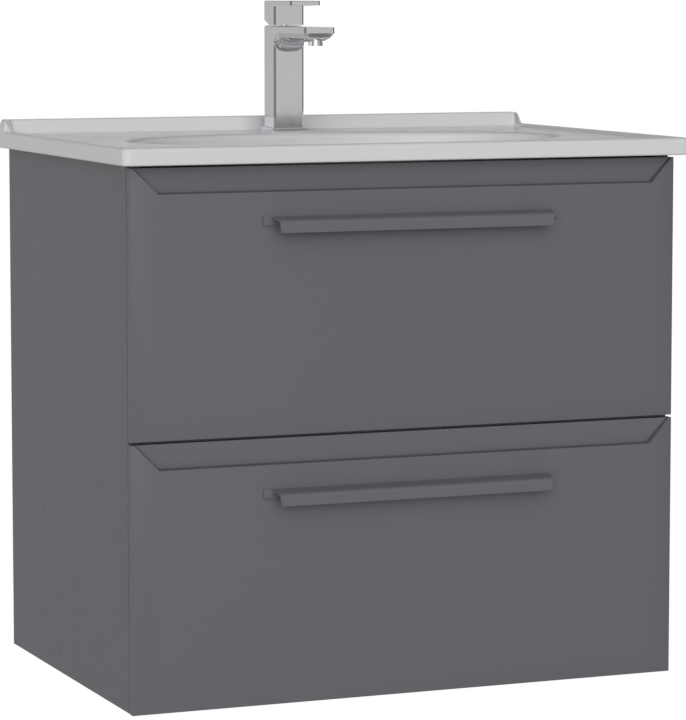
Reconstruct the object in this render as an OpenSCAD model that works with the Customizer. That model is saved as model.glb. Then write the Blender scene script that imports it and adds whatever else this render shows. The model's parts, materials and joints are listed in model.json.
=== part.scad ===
// Wall-hung bathroom vanity: a two-drawer cabinet under a ceramic basin with a
// single-lever mixer, a push-open waste and a bottle trap.
// Frame: X to the right, the wall is the plane y = 0 and the front looks along -Y,
// Z is up, and the origin is the centre of the four wall screws.

/* [Cabinet] */
// Width of the cabinet and of its drawer fronts
cabinet_w = 630; // [610:10:690]
// Height from the cabinet's lower edge to the underside of the basin
cabinet_h = 576; // [570:2:590]
// Depth of the carcass, without the fronts
carcass_d = 416; // [412:2:424]
// Distance from the back of the carcass to the wall
wall_gap = 8.5; // [8.5:0.5:10]
// Thickness of the carcass boards
board_t = 16; // [15:1:18]
// Height of the wall screws' centre above the cabinet's lower edge
hang_h = 500; // [495:5:505]

/* [Drawer fronts] */
// Gap between the fronts, and between the upper front and the basin
front_gap = 3; // [2:0.5:4]
// Full thickness of a front
front_t = 18; // [16:1:20]
// Depth of the bevel around a front and of the step under its flat top strip
bevel_d = 6; // [3:0.5:8]
// Width of the bevel around a front
bevel_w = 29; // [20:1:36]
// Height of the flat strip along the top of a front
strip_h = 27; // [20:1:36]

/* [Drawer boxes] */
// Thickness of the drawer sides and backs
box_t = 12; // [10:1:14]
// Height of the upper drawer's box
upper_box_h = 150; // [110:5:150]
// Height of the lower drawer's box
lower_box_h = 180; // [120:5:200]
// Length of the drawer runners
runner_l = 350; // [330:5:355]
// Inside width of the notch in the upper drawer that goes round the trap
notch_w = 124; // [110:2:160]

/* [Handles] */
// Length of a handle's fixing strip
handle_l = 342; // [240:2:420]
// How far a handle stands out from its front
handle_out = 19; // [17:0.5:30]
// Height of a handle's curved lip
handle_h = 16.5; // [16:0.5:22]

/* [Basin] */
// Width of the basin
basin_w = 654; // [650:2:720]
// Depth of the basin, from the wall
basin_d = 455; // [450:1:470]
// Thickness of the basin's rim
rim_t = 19; // [17:1:24]
// Height of the raised edge along the wall, above the rim
upstand_h = 13; // [8:1:30]
// Half the width of the bowl
bowl_a = 252; // [225:1:255]
// Half the depth of the bowl, from front to back
bowl_b = 146; // [130:1:147]
// Depth of the bowl under the deck
bowl_depth = 95; // [80:1:96]

/* [Tap] */
// Width of the tap's square column
tap_w = 37; // [35:0.5:42]
// Height of the column above the deck
tap_h = 121.5; // [110:0.5:150]
// Distance from the column's front to the tip of the spout
spout_l = 95; // [85:1:110]
// Distance from the wall to the tap's centre
tap_y = 67.5; // [62:0.5:74]

/* [Hidden] */
$fn = 64;
eps = 0.01;

lacquer = [0.43, 0.43, 0.45];
melamine = [0.66, 0.66, 0.67];
ceramic = [0.93, 0.93, 0.94];
steel = [0.62, 0.64, 0.66];
chromed = [0.75, 0.76, 0.78];
plastic = [0.90, 0.90, 0.90];
rubber = [0.12, 0.12, 0.12];

// Heights and depths of the cabinet
low_z = -hang_h;
top_z = low_z + cabinet_h;
back_y = -wall_gap;
edge_y = back_y - carcass_d;
side_in = cabinet_w / 2 - board_t;
front_back_y = edge_y - 1.5;
front_y = front_back_y - front_t;
front_edge_y = front_y + bevel_d;
front_h = (cabinet_h - 2 * front_gap) / 2;
upper_z = low_z + front_h + front_gap;

// Drawer boxes and runners
runner_space = 12.7;
runner_h = 45;
metal_t = 1.4;
box_out = side_in - runner_space;
box_in = box_out - box_t;
box_back_y = front_back_y + runner_l;
groove = 4;
bottom_t = 10;
upper_box_z = low_z + 303;
lower_box_z = low_z + 24;
upper_runner_z = upper_box_z + 34;
lower_runner_z = lower_box_z + 40;
notch_r = 20;
notch_t = 6;
notch_front_y = -305;

// Basin
deck_drop = 3;
rim_z = top_z + rim_t;
deck_z = rim_z - deck_drop;
bowl_y = -260;
drain_z = deck_z - bowl_depth;
shell_t = 14;
floor_t = 11;
tap_hole_r = 17.5;
bowl_steps = 16;
bowl_flat = 64;
bowl_hole = 18;
seat_r = 32;
seat_d = 3;
drain_r = 22.5;

// Waste and trap
waste_r = 21.5;
waste_low_z = drain_z - 72;
trap_r = 31;
trap_joint_z = drain_z - 119;
outlet_z = drain_z - 99;
pipe_r = 15.5;
pipe_bore = 14;
spigot_r = 16;
spigot_l = 40;

// Tap
tap_d = 34;
plate_over = 4;
plate_t = 4.5;
column_z = deck_z + plate_t;
column_top = deck_z + tap_h;
pivot_z = column_top + 4.5;
lever_gap = 1.7;
lever_top = column_top + 29.6;
lever_plate_t = 6.4;
lever_tip_t = 5;
lever_out = 51;
lever_relief = 6.5;
cover_t = 1;
stud_y = -tap_y - 9;
stud_r = 4;
clamp_t = 3;
stud_nut_h = 7;
inlet_x = 9.5;
inlet_y = -tap_y + 5;
inlet_r = 5;
aerator_y = -tap_y - tap_d / 2 - spout_l + 13.5;
aerator_r = 8.2;
aerator_h = 4;

// ---------- shared shapes ----------

// A box between two opposite corners
module block(low, high) {
    translate(low) cube(high - low);
}

// The part and its mirror image across the cabinet's middle plane
module pair() {
    children();
    mirror([1, 0, 0]) children();
}

// An upright tube on the Z axis
module tube(r_out, r_in, h) {
    difference() {
        cylinder(r = r_out, h = h);
        translate([0, 0, -eps]) cylinder(r = r_in, h = h + 2 * eps);
    }
}

// A flat rectangle with round corners, centred
module round_rect(w, d, r) {
    square([w - 2 * r, d], center = true);
    square([w, d - 2 * r], center = true);
    for (sx = [-1, 1], sy = [-1, 1])
        translate([sx * (w / 2 - r), sy * (d / 2 - r)]) circle(r = r);
}

// ---------- carcass ----------

cam_r = 7.5;
cam_d = 12.5;
cam_inset = 34;
cam_front = 44;
cam_rear = 52;
cam_top = 19;
cross_slot = 1.8;
rear_rail_h = 130;
front_rail_t = 14;
front_rail_h = 50;
front_rail_drop = 16;
low_rail_h = 90;
front_rail_top = top_z - front_rail_drop;
middle_rail_h = 36;
middle_rail_top = upper_box_z - 3;
window_w = 84;
window_h = 76;

// Where the cam fittings sit: a point on the open face and the turn that drills into the board
module cam_places() {
    cam_x = side_in - cam_inset;
    for (sx = [-1, 1]) {
        for (y = [edge_y + cam_front, back_y - cam_rear])
            translate([sx * cam_x, y, low_z]) children();
        for (z = [front_rail_top - front_rail_h / 2, middle_rail_top - middle_rail_h / 2])
            translate([sx * cam_x, edge_y + front_rail_t, z]) rotate([90, 0, 0]) children();
        for (z = [top_z - cam_top, low_z + board_t + low_rail_h / 2])
            translate([sx * cam_x, back_y - board_t, z]) rotate([-90, 0, 0]) children();
    }
}

module cam_pockets() {
    cam_places() translate([0, 0, -eps]) cylinder(r = cam_r + 0.1, h = cam_d + eps);
}

module cam_fittings() {
    color(steel) cam_places() difference() {
        translate([0, 0, 0.4]) cylinder(r = cam_r, h = cam_d - 0.4);
        translate([-5, -cross_slot / 2, 0]) cube([10, cross_slot, 2.4]);
        translate([-cross_slot / 2, -5, 0]) cube([cross_slot, 10, 2.4]);
    }
}

screw_r = 2;
screw_l = 12;
screw_head_r = 3.6;
screw_head_t = 1.1;
runner_screws_at = [37, 165, 293];

// Screw places on the right-hand side panel's inner face, as distances behind its front edge
module runner_screw_places() {
    for (z = [upper_runner_z, lower_runner_z], from_edge = runner_screws_at)
        translate([side_in, edge_y + from_edge, z]) rotate([0, 90, 0]) children();
}

module side_panel() {
    difference() {
        block([side_in, edge_y, low_z], [cabinet_w / 2, back_y, top_z]);
        runner_screw_places() translate([0, 0, -eps])
            cylinder(r = screw_r + 0.05, h = screw_l + 0.1, $fn = 24);
    }
}

module side_left() color(lacquer) mirror([1, 0, 0]) side_panel();
module side_right() color(lacquer) side_panel();

module bottom_panel() {
    color(lacquer) difference() {
        block([-side_in, edge_y, low_z], [side_in, back_y, low_z + board_t]);
        cam_pockets();
    }
}

// A rail between the side panels, along the front of the carcass
module cross_rail(top, h) {
    color(lacquer) difference() {
        block([-side_in, edge_y, top - h], [side_in, edge_y + front_rail_t, top]);
        cam_pockets();
    }
}

// The front rail is set down under the basin, clear of the bowl's bulge
module rail_front() cross_rail(front_rail_top, front_rail_h);
// The middle rail closes the gap between the drawer fronts from behind
module rail_middle() cross_rail(middle_rail_top, middle_rail_h);

module rail_rear_top() {
    color(lacquer) difference() {
        block([-side_in, back_y - board_t, top_z - rear_rail_h], [side_in, back_y, top_z]);
        pair() block([side_in - window_w, back_y - board_t - 1, -window_h / 2],
                     [side_in + 1, back_y + 1, window_h / 2]);
        cam_pockets();
    }
}

module rail_rear_bottom() {
    color(lacquer) difference() {
        block([-side_in, back_y - board_t, low_z + board_t],
              [side_in, back_y, low_z + board_t + low_rail_h]);
        cam_pockets();
    }
}

// ---------- hanging ----------

hang_screw_x = 240;
hang_screw_z = 18;
hang_screw_r = 3.25;
wall_plate_t = 3;
wall_plate_half = 30;
lip_z = -3;
hanger_t = 18;
hanger_half = 24;
hanger_front = 56;
hanger_rear = 18;
shelf_out = 7;

// Zinc hanger on the inside of a side panel; its tooth drops behind the wall plate's lip
module hanger() {
    arm_x = side_in - hanger_t;
    color(steel) {
        difference() {
            block([arm_x, back_y - hanger_front, -hanger_half],
                  [side_in, back_y - hanger_rear, hanger_half]);
            for (z = [-14, 14])
                translate([arm_x - 1, back_y - 46, z]) rotate([0, 90, 0]) cylinder(r = 4, h = 4, $fn = 24);
            translate([arm_x + hanger_t / 2, back_y - hanger_front + 4, -hanger_half - 1])
                cylinder(r = 2.5, h = 8, $fn = 24);
        }
        block([arm_x + 2, back_y - 30, 6], [side_in - 4, -wall_plate_t - 0.5, 16]);
        block([arm_x + 2, -wall_plate_t - 4, lip_z + 0.3], [side_in - 4, -wall_plate_t - 0.5, 8]);
    }
}

// Steel plate screwed to the wall, with a shelf and an upturned lip for the hanger's tooth
module wall_plate() {
    plate_in = hang_screw_x - 15;
    shelf_in = side_in - 28;
    color(steel) {
        difference() {
            block([plate_in, -wall_plate_t, -wall_plate_half], [side_in - 2, 0, wall_plate_half]);
            for (sz = [-1, 1])
                translate([hang_screw_x, 1, sz * hang_screw_z]) rotate([90, 0, 0])
                    cylinder(r = hang_screw_r, h = wall_plate_t + 2);
        }
        block([shelf_in, -wall_plate_t - shelf_out, lip_z - 3], [side_in - 2, -wall_plate_t, lip_z]);
        block([shelf_in, -wall_plate_t - shelf_out, lip_z - 3],
              [side_in - 2, -wall_plate_t - shelf_out + 2.5, lip_z + 8]);
    }
}

module hanger_left() mirror([1, 0, 0]) hanger();
module hanger_right() hanger();
module wall_plate_left() mirror([1, 0, 0]) wall_plate();
module wall_plate_right() wall_plate();

// Pads that keep the lower back of the cabinet off the wall
module wall_buffers() {
    buffer_x = side_in - 60;
    buffer_h = 40;
    buffer_r = 7;
    color(rubber) pair() translate([buffer_x, back_y, low_z + buffer_h]) rotate([-90, 0, 0])
        cylinder(r = buffer_r, h = wall_gap);
}

// ---------- runners ----------

module runner_screws() {
    color(steel) pair() runner_screw_places() {
        cylinder(r = screw_r, h = screw_l, $fn = 24);
        translate([0, 0, -screw_head_t]) cylinder(r = screw_head_r, h = screw_head_t, $fn = 24);
    }
}

// A C-shaped rail whose web is on the side with the lower x or on the other side
module channel(x_low, x_high, half_h, y_low, y_high, web_at_low) {
    difference() {
        block([x_low, y_low, -half_h], [x_high, y_high, half_h]);
        block([web_at_low ? x_low + metal_t : x_low - 1, y_low - 1, metal_t - half_h],
              [web_at_low ? x_high + 1 : x_high - metal_t, y_high + 1, half_h - metal_t]);
    }
}

ball_space = 2.6;
outer_half = runner_h / 2;
middle_half = outer_half - metal_t - ball_space;
inner_half = middle_half - metal_t - ball_space;

module runner_outer(z) {
    color(steel) difference() {
        translate([0, 0, z])
            channel(side_in - 9.5, side_in, outer_half, edge_y + 0.5, edge_y + 0.5 + runner_l, false);
        runner_screw_places() translate([0, 0, -4]) cylinder(r = screw_head_r + 0.1, h = 8, $fn = 24);
    }
}

module runner_middle(z) {
    color(steel) translate([0, 0, z])
        channel(side_in - 10.6, side_in - 2.4, middle_half, edge_y + 1, edge_y + runner_l - 4, false);
}

module runner_inner(z) {
    color(steel) translate([0, 0, z])
        channel(box_out, side_in - 4.8, inner_half, edge_y + 0.5, edge_y + runner_l - 4, true);
}

module upper_runner_outer_left() mirror([1, 0, 0]) runner_outer(upper_runner_z);
module upper_runner_outer_right() runner_outer(upper_runner_z);
module lower_runner_outer_left() mirror([1, 0, 0]) runner_outer(lower_runner_z);
module lower_runner_outer_right() runner_outer(lower_runner_z);
module upper_runner_middle_left() mirror([1, 0, 0]) runner_middle(upper_runner_z);
module upper_runner_middle_right() runner_middle(upper_runner_z);
module lower_runner_middle_left() mirror([1, 0, 0]) runner_middle(lower_runner_z);
module lower_runner_middle_right() runner_middle(lower_runner_z);
module upper_runner_inner_left() mirror([1, 0, 0]) runner_inner(upper_runner_z);
module upper_runner_inner_right() runner_inner(upper_runner_z);
module lower_runner_inner_left() mirror([1, 0, 0]) runner_inner(lower_runner_z);
module lower_runner_inner_right() runner_inner(lower_runner_z);

// ---------- drawer fronts ----------

strip_in = 3;
strip_d = 8.5;
handle_drop = 53;
handle_strip_h = 9;
handle_t = 2.2;
hook_inset = 9;
hook_taper = 4;
lip_flat = 3;
lip_drop = 3;
bend_r = 5;

// Where the two handle screws go through a front, measured from the front's lower edge
module handle_screw_places(z) {
    screw_z = z + front_h - handle_drop - handle_strip_h / 2;
    for (sx = [-1, 1])
        translate([sx * (handle_l - hook_inset) / 2, front_y, screw_z]) rotate([-90, 0, 0]) children();
}

// A front with mitred bevels on three edges and a sunk flat strip along the top
module front_board(z) {
    half = cabinet_w / 2;
    across = [
        [-half, front_back_y], [half, front_back_y], [half, front_edge_y],
        [half - bevel_w, front_y], [bevel_w - half, front_y], [-half, front_edge_y]
    ];
    upright = [
        [front_back_y, 0], [front_back_y, front_h], [front_y, front_h],
        [front_y, bevel_w], [front_edge_y, 0]
    ];
    strip = [
        [strip_in - half, strip_h], [half - strip_in, strip_h], [half - strip_in, 0],
        [half - bevel_w, -bevel_w], [bevel_w - half, -bevel_w], [strip_in - half, 0]
    ];
    color(lacquer) difference() {
        intersection() {
            translate([0, 0, z]) linear_extrude(front_h) polygon(across);
            translate([-half - 1, 0, z]) rotate([90, 0, 90]) linear_extrude(cabinet_w + 2) polygon(upright);
        }
        translate([0, front_y + strip_d, z + front_h]) scale([1, 1, strip_h / bevel_w])
            rotate([90, 0, 0]) linear_extrude(strip_d + 5) polygon(strip);
        handle_screw_places(z) translate([0, 0, -1]) cylinder(r = screw_r + 0.1, h = front_t + 2, $fn = 24);
    }
}

module upper_front() front_board(upper_z);
module lower_front() front_board(low_z);

// ---------- handles ----------

// Lip outline set in by t: x is measured forwards from the front, y down from the lip's top
module hook_outline(t) {
    shoulder = handle_out - bend_r;
    polygon([
        [-t, t], [lip_flat, t], [shoulder, lip_drop + t], [shoulder, handle_h + t], [-t, handle_h + t]
    ]);
    translate([shoulder, lip_drop + bend_r]) {
        circle(r = bend_r - t, $fn = 96);
        square([bend_r - t, handle_h + t - lip_drop - bend_r]);
    }
}

// Sheet section: a gently falling top, a tight bend and an upright lip
module hook_section() {
    difference() {
        hook_outline(0);
        hook_outline(handle_t);
    }
}

module handle(z) {
    top = z + front_h - handle_drop;
    half = handle_l / 2;
    hook_half = half - hook_inset;
    plan = [
        [-hook_half, 0], [hook_half, 0], [hook_half, -handle_t],
        [hook_half - hook_taper, -handle_out - 1], [hook_taper - hook_half, -handle_out - 1],
        [-hook_half, -handle_t]
    ];
    color(lacquer) difference() {
        union() {
            block([-half, front_y - handle_t, top - handle_strip_h], [half, front_y, top]);
            translate([0, front_y, top]) intersection() {
                translate([-half, 0, 0]) rotate([-90, 0, -90])
                    linear_extrude(handle_l) hook_section();
                translate([0, 0, -handle_h - 1]) linear_extrude(handle_h + 2) polygon(plan);
            }
        }
        handle_screw_places(z) translate([0, 0, -1.4]) cylinder(r = 1.6, h = 4, $fn = 24);
    }
}

module upper_handle() handle(upper_z);
module lower_handle() handle(low_z);

module handle_screws(z) {
    color(steel) handle_screw_places(z) {
        translate([0, 0, -1.3]) cylinder(r = 1.5, h = 4, $fn = 24);
        translate([0, 0, 0.1]) cylinder(r = screw_r, h = front_t, $fn = 24);
        translate([0, 0, front_t]) cylinder(r = 2 * screw_r, h = 1.2, $fn = 24);
    }
}

module upper_handle_screws() handle_screws(upper_z);
module lower_handle_screws() handle_screws(low_z);

// ---------- drawer boxes ----------

bottom_lift = 3;

module box_side(z, h) {
    color(melamine) difference() {
        block([box_in, front_back_y, z], [box_out, box_back_y, z + h]);
        block([box_in - 1, front_back_y - 1, z + bottom_lift],
              [box_in + groove, box_back_y + 1, z + bottom_lift + bottom_t]);
    }
}

module upper_side_left() mirror([1, 0, 0]) box_side(upper_box_z, upper_box_h);
module upper_side_right() box_side(upper_box_z, upper_box_h);
module lower_side_left() mirror([1, 0, 0]) box_side(lower_box_z, lower_box_h);
module lower_side_right() box_side(lower_box_z, lower_box_h);

module box_bottom(z) {
    block([-box_in - groove, front_back_y, z + bottom_lift],
          [box_in + groove, box_back_y, z + bottom_lift + bottom_t]);
}

// Plan of the trap's notch, open to the back, grown outwards by more
module notch_plan(more) {
    half = notch_w / 2 + more;
    r = notch_r + more;
    depth = box_back_y - notch_front_y + more;
    translate([0, box_back_y]) {
        translate([-half, r - depth]) square([2 * half, depth - r + (more > 0 ? 0 : 5)]);
        translate([r - half, -depth]) square([2 * (half - r), r]);
        for (sx = [-1, 1])
            translate([sx * (half - r), r - depth]) circle(r = r);
    }
}

module upper_bottom() {
    color(melamine) difference() {
        box_bottom(upper_box_z);
        translate([0, 0, upper_box_z]) linear_extrude(50) notch_plan(0);
    }
}

module lower_bottom() color(melamine) box_bottom(lower_box_z);

module upper_notch_wall() {
    base = upper_box_z + bottom_lift + bottom_t;
    color(melamine) translate([0, 0, base]) difference() {
        linear_extrude(upper_box_z + upper_box_h - base) notch_plan(notch_t);
        translate([0, 0, -1]) linear_extrude(upper_box_h + 2) notch_plan(0);
    }
}

module box_back(x_low, z, h) {
    block([x_low, box_back_y - box_t, z + bottom_lift + bottom_t], [box_in, box_back_y, z + h]);
}

module upper_back() color(melamine) pair() box_back(notch_w / 2 + notch_t, upper_box_z, upper_box_h);
module lower_back() color(melamine) box_back(-box_in, lower_box_z, lower_box_h);

// ---------- basin ----------

// Half of the bowl's section: a superellipse from the steep edge down to a flat floor round the drain
function bowl_curve(a, depth) = [
    for (i = [0:bowl_steps])
        let (t = 90 * i / bowl_steps)
        [bowl_flat + (a - bowl_flat) * pow(cos(t), 0.62), -depth * pow(sin(t), 1.15)]
];

module bowl_solid(a, b, depth) {
    translate([0, bowl_y, deck_z]) scale([1, b / a, 1]) rotate_extrude($fn = 96)
        polygon(concat([[0, 0]], bowl_curve(a, depth), [[0, -depth]]));
}

// Rim, deck and raised edge of the basin
module basin() {
    rim_w = 12;
    deck_r = 10;
    corner_r = 8;
    upstand_t = 24;
    slope = 7;
    half = basin_w / 2;
    ends = [[-half, 0], [half, 0], [half - slope, upstand_h], [slope - half, upstand_h]];
    color(ceramic) difference() {
        union() {
            difference() {
                union() {
                    translate([0, -basin_d / 2, top_z]) linear_extrude(rim_t)
                        round_rect(basin_w, basin_d, corner_r);
                    block([-basin_w / 2, -corner_r, top_z], [basin_w / 2, 0, rim_z]);
                }
                translate([0, -(basin_d + upstand_t - rim_w) / 2, deck_z])
                    linear_extrude(deck_drop + 1)
                        round_rect(basin_w - 2 * rim_w, basin_d - upstand_t - rim_w, deck_r);
            }
            translate([0, 0, rim_z]) rotate([90, 0, 0]) linear_extrude(upstand_t) polygon(ends);
        }
        bowl_solid(bowl_a, bowl_b, bowl_depth);
        translate([0, -tap_y, top_z - 1]) cylinder(r = tap_hole_r, h = rim_t + 2);
    }
}

// The part of the bowl that hangs below the rim, with the seat and hole for the waste
module basin_bowl() {
    outer = bowl_curve(bowl_a + shell_t, bowl_depth + floor_t);
    outer_back = [for (i = [len(outer) - 1:-1:0]) outer[i]];
    floor_edge = [[bowl_hole, -bowl_depth], [bowl_hole, -bowl_depth - floor_t]];
    color(ceramic) difference() {
        for (turn = [0:90:270])
            translate([0, bowl_y, deck_z]) scale([1, bowl_b / bowl_a, 1]) rotate(turn)
                rotate_extrude(angle = 90, $fn = 96)
                    polygon(concat(bowl_curve(bowl_a, bowl_depth), floor_edge, outer_back));
        block([-bowl_a * 2, bowl_y - bowl_a, top_z], [bowl_a * 2, bowl_y + bowl_a, rim_z]);
        translate([0, bowl_y, drain_z - seat_d]) cylinder(r = seat_r, h = seat_d + 2);
        translate([0, bowl_y, drain_z - 40]) cylinder(r = drain_r, h = 60);
    }
}

// ---------- waste ----------

seat_z = drain_z - seat_d;
shell_z = deck_z - bowl_depth - floor_t;
guide_z = drain_z - 22;
guide_h = 8;
stem_r = 4;
plug_r = 29;
washer_r = 33;
washer_t = 3.5;
nut_h = 10.5;
waste_wall = 3;

module waste_flange() {
    color(chromed) translate([0, bowl_y, 0]) {
        difference() {
            union() {
                translate([0, 0, seat_z]) cylinder(r = seat_r - 0.5, h = seat_d);
                translate([0, 0, waste_low_z]) cylinder(r = waste_r, h = seat_z - waste_low_z + eps);
            }
            translate([0, 0, waste_low_z - 1]) cylinder(r = waste_r - waste_wall, h = 100);
        }
        translate([0, 0, guide_z]) {
            tube(stem_r + 3, stem_r + 0.05, guide_h);
            for (turn = [0:90:270])
                rotate(turn) translate([stem_r + 2, -1.5, 0])
                    cube([waste_r - waste_wall - stem_r - 1.5, 3, guide_h]);
        }
    }
}

module waste_washer() {
    color(rubber) translate([0, bowl_y, shell_z - washer_t]) tube(washer_r, waste_r + 0.2, washer_t);
}

module waste_nut() {
    color(plastic) translate([0, bowl_y, shell_z - washer_t - nut_h]) difference() {
        cylinder(r = washer_r, h = nut_h, $fn = 8);
        translate([0, 0, -1]) cylinder(r = waste_r + 0.2, h = nut_h + 2);
    }
}

// Domed cap of the push-open waste, on a stem that slides in the flange's guide
module waste_plug() {
    color(chromed) translate([0, bowl_y, 0]) {
        translate([0, 0, drain_z + 0.5]) cylinder(r = plug_r, h = 3);
        translate([0, 0, drain_z + 3.5]) cylinder(r1 = plug_r, r2 = plug_r - 1.5, h = 1.5);
        translate([0, 0, guide_z - 6]) cylinder(r = stem_r, h = drain_z + 1 - guide_z + 6);
    }
}

// ---------- bottle trap ----------

socket_wall = 4;
trap_wall = 2.5;
trap_top_z = waste_low_z - 6;
socket_h = 21;
dip_r = 16;
dip_bore = 14;
dip_low = 35;
cup_foot = 8;

module trap_head() {
    socket_r = waste_r + 0.2;
    color(plastic) translate([0, bowl_y, 0]) difference() {
        union() {
            translate([0, 0, trap_top_z]) cylinder(r = socket_r + socket_wall, h = socket_h);
            translate([0, 0, trap_joint_z]) cylinder(r = trap_r, h = trap_top_z - trap_joint_z + 2);
            translate([0, 0, outlet_z]) rotate([-90, 0, 0]) cylinder(r = pipe_r + 3.2, h = trap_r + 24);
        }
        translate([0, 0, waste_low_z]) cylinder(r = socket_r, h = 30);
        translate([0, 0, trap_joint_z - 1])
            cylinder(r = trap_r - trap_wall, h = trap_top_z - trap_joint_z);
        translate([0, 0, waste_low_z - 20]) cylinder(r = dip_bore, h = 30);
        translate([0, 0, outlet_z]) rotate([-90, 0, 0]) cylinder(r = pipe_bore, h = trap_r + 30);
        translate([0, trap_r + 6, outlet_z]) rotate([-90, 0, 0]) cylinder(r = pipe_r + 0.2, h = 30);
    }
    color(plastic) translate([0, bowl_y, trap_joint_z - dip_low])
        tube(dip_r, dip_bore, trap_top_z - trap_joint_z + dip_low);
}

module trap_cup() {
    cup_h = 62;
    inner_r = trap_r - trap_wall;
    color(plastic) translate([0, bowl_y, trap_joint_z - cup_h]) difference() {
        union() {
            translate([0, 0, cup_foot]) cylinder(r = trap_r, h = cup_h - cup_foot);
            cylinder(r1 = trap_r - cup_foot, r2 = trap_r, h = cup_foot);
        }
        translate([0, 0, trap_wall])
            cylinder(r1 = inner_r - cup_foot, r2 = inner_r, h = cup_foot);
        translate([0, 0, trap_wall + cup_foot - eps]) cylinder(r = inner_r, h = cup_h);
    }
}

// Ring nuts that hold the cup to the head and the outlet pipe in its socket
module trap_nuts() {
    color(plastic) {
        translate([0, bowl_y, trap_joint_z - 9]) tube(trap_r + 4, trap_r + 0.2, 10);
        translate([0, bowl_y + trap_r + 8, outlet_z]) rotate([-90, 0, 0])
            tube(pipe_r + 8, pipe_r + 3.4, 14);
    }
}

// Waste pipe to the wall; its last stretch is a spigot for the drain's socket
module trap_outlet_pipe() {
    pipe_from = bowl_y + trap_r + 7;
    color(plastic) difference() {
        union() {
            translate([0, pipe_from, outlet_z]) rotate([-90, 0, 0]) cylinder(r = pipe_r, h = -pipe_from);
            translate([0, -spigot_l, outlet_z]) rotate([-90, 0, 0]) cylinder(r = spigot_r, h = spigot_l);
        }
        translate([0, pipe_from - 1, outlet_z]) rotate([-90, 0, 0])
            cylinder(r = pipe_bore, h = 2 - pipe_from);
    }
}

// ---------- tap ----------

tap_front_y = -tap_y - tap_d / 2;
tap_back_y = -tap_y + tap_d / 2;
spout_tip_y = tap_front_y - spout_l;
slab_t = 7.2;
belly_z = column_top - 17;
belly_r = 22;
belly_root_w = 18;
cartridge_r = 14.3;
cartridge_h = 29;
spindle_r = 5;
pin_r = 2;
pin_l = 26;
root_r = 13.5;
plate_back_over = 1;

module tap_base_plate() {
    plate_d = tap_d + plate_over + plate_back_over;
    color(chromed) translate([0, -tap_y, deck_z]) difference() {
        translate([0, (plate_back_over - plate_over) / 2, 0])
            linear_extrude(plate_t) round_rect(tap_w + 2 * plate_over, plate_d, 1.5);
        translate([0, 0, -1]) cylinder(r = tap_hole_r - 1, h = plate_t + 2);
    }
}

// A side outline drawn out to a width, centred on the tap
module across_tap(w) {
    translate([-w / 2, 0, 0]) rotate([90, 0, 90]) linear_extrude(w) children();
}

// Hollow curve between the column's front and an underside at height z
module root_curve(w, z) {
    across_tap(w) difference() {
        translate([tap_front_y - root_r, z - root_r]) square([root_r + 1, root_r + 1]);
        translate([tap_front_y - root_r, z - root_r]) circle(r = root_r);
    }
}

// Flat slab that flows into the column, with a belly under it that narrows downwards
module spout() {
    slab_z = column_top - slab_t;
    block([-tap_w / 2, spout_tip_y, slab_z], [tap_w / 2, tap_front_y + 1, column_top]);
    root_curve(tap_w, slab_z);
    root_curve(belly_root_w, belly_z);
    intersection() {
        across_tap(tap_w) polygon([
            [tap_front_y + 1, slab_z + 1], [spout_tip_y + 1, slab_z + 1], [spout_tip_y + 3, slab_z - 2],
            [spout_tip_y + 6, belly_z + 3.5], [spout_tip_y + 9, belly_z], [tap_front_y + 1, belly_z]
        ]);
        translate([0, tap_front_y + 1, slab_z + sqrt(belly_r ^ 2 - (tap_w / 2) ^ 2)])
            rotate([90, 0, 0]) cylinder(r = belly_r, h = spout_l + 2, $fn = 96);
    }
}

module tap_body() {
    color(chromed) difference() {
        union() {
            block([-tap_w / 2, tap_front_y, column_z], [tap_w / 2, tap_back_y, column_top]);
            spout();
        }
        translate([0, -tap_y, column_top - cartridge_h - 1])
            cylinder(r = cartridge_r + 0.2, h = cartridge_h + 2);
        translate([0, stud_y, column_z - 1]) cylinder(r = stud_r + 0.05, h = 15);
        for (sx = [-1, 1])
            translate([sx * inlet_x, inlet_y, column_z - 1]) cylinder(r = inlet_r, h = 15);
        translate([0, aerator_y, belly_z - 1]) cylinder(r = aerator_r - 0.8, h = 9);
    }
}

module tap_cartridge() {
    color(plastic) translate([0, -tap_y, column_top - cartridge_h - 0.8])
        tube(cartridge_r, spindle_r + 0.05, cartridge_h);
}

// Stem that turns in the cartridge, with a flat cover and the cross pin that the lever tilts on
module tap_spindle() {
    color(chromed) translate([0, -tap_y, 0]) {
        translate([0, 0, column_top + 0.2]) linear_extrude(cover_t)
            square([tap_w - 4, tap_d - 4], center = true);
        translate([0, 0, column_top - 22]) cylinder(r = spindle_r, h = pivot_z - column_top + 26);
        translate([-pin_l / 2, 0, pivot_z]) rotate([0, 90, 0]) cylinder(r = pin_r, h = pin_l);
    }
}

// Block and flat lever in one piece; its rear lower edge is cut back so that it can tilt
module tap_lever() {
    low = column_top + lever_gap;
    outline = [
        [tap_front_y, low], [-tap_y, low], [tap_back_y, low + lever_relief], [tap_back_y, lever_top],
        [tap_front_y - lever_out, lever_top], [tap_front_y - lever_out, lever_top - lever_tip_t],
        [tap_front_y, lever_top - lever_plate_t]
    ];
    color(chromed) difference() {
        translate([-tap_w / 2, 0, 0]) rotate([90, 0, 90]) linear_extrude(tap_w) polygon(outline);
        block([-9, -tap_y - 10, low - 1], [9, -tap_y + 10, low + 14]);
        translate([-pin_l / 2 - 1, -tap_y, pivot_z]) rotate([0, 90, 0])
            cylinder(r = pin_r + 0.05, h = pin_l + 2);
    }
}

module tap_aerator() {
    color(chromed) translate([0, aerator_y, belly_z]) difference() {
        union() {
            translate([0, 0, -aerator_h]) cylinder(r = aerator_r, h = aerator_h);
            translate([0, 0, -1]) cylinder(r = aerator_r - 1, h = 8);
        }
        translate([0, 0, -aerator_h - 1]) cylinder(r = aerator_r - 1.8, h = 3);
    }
}

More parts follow.
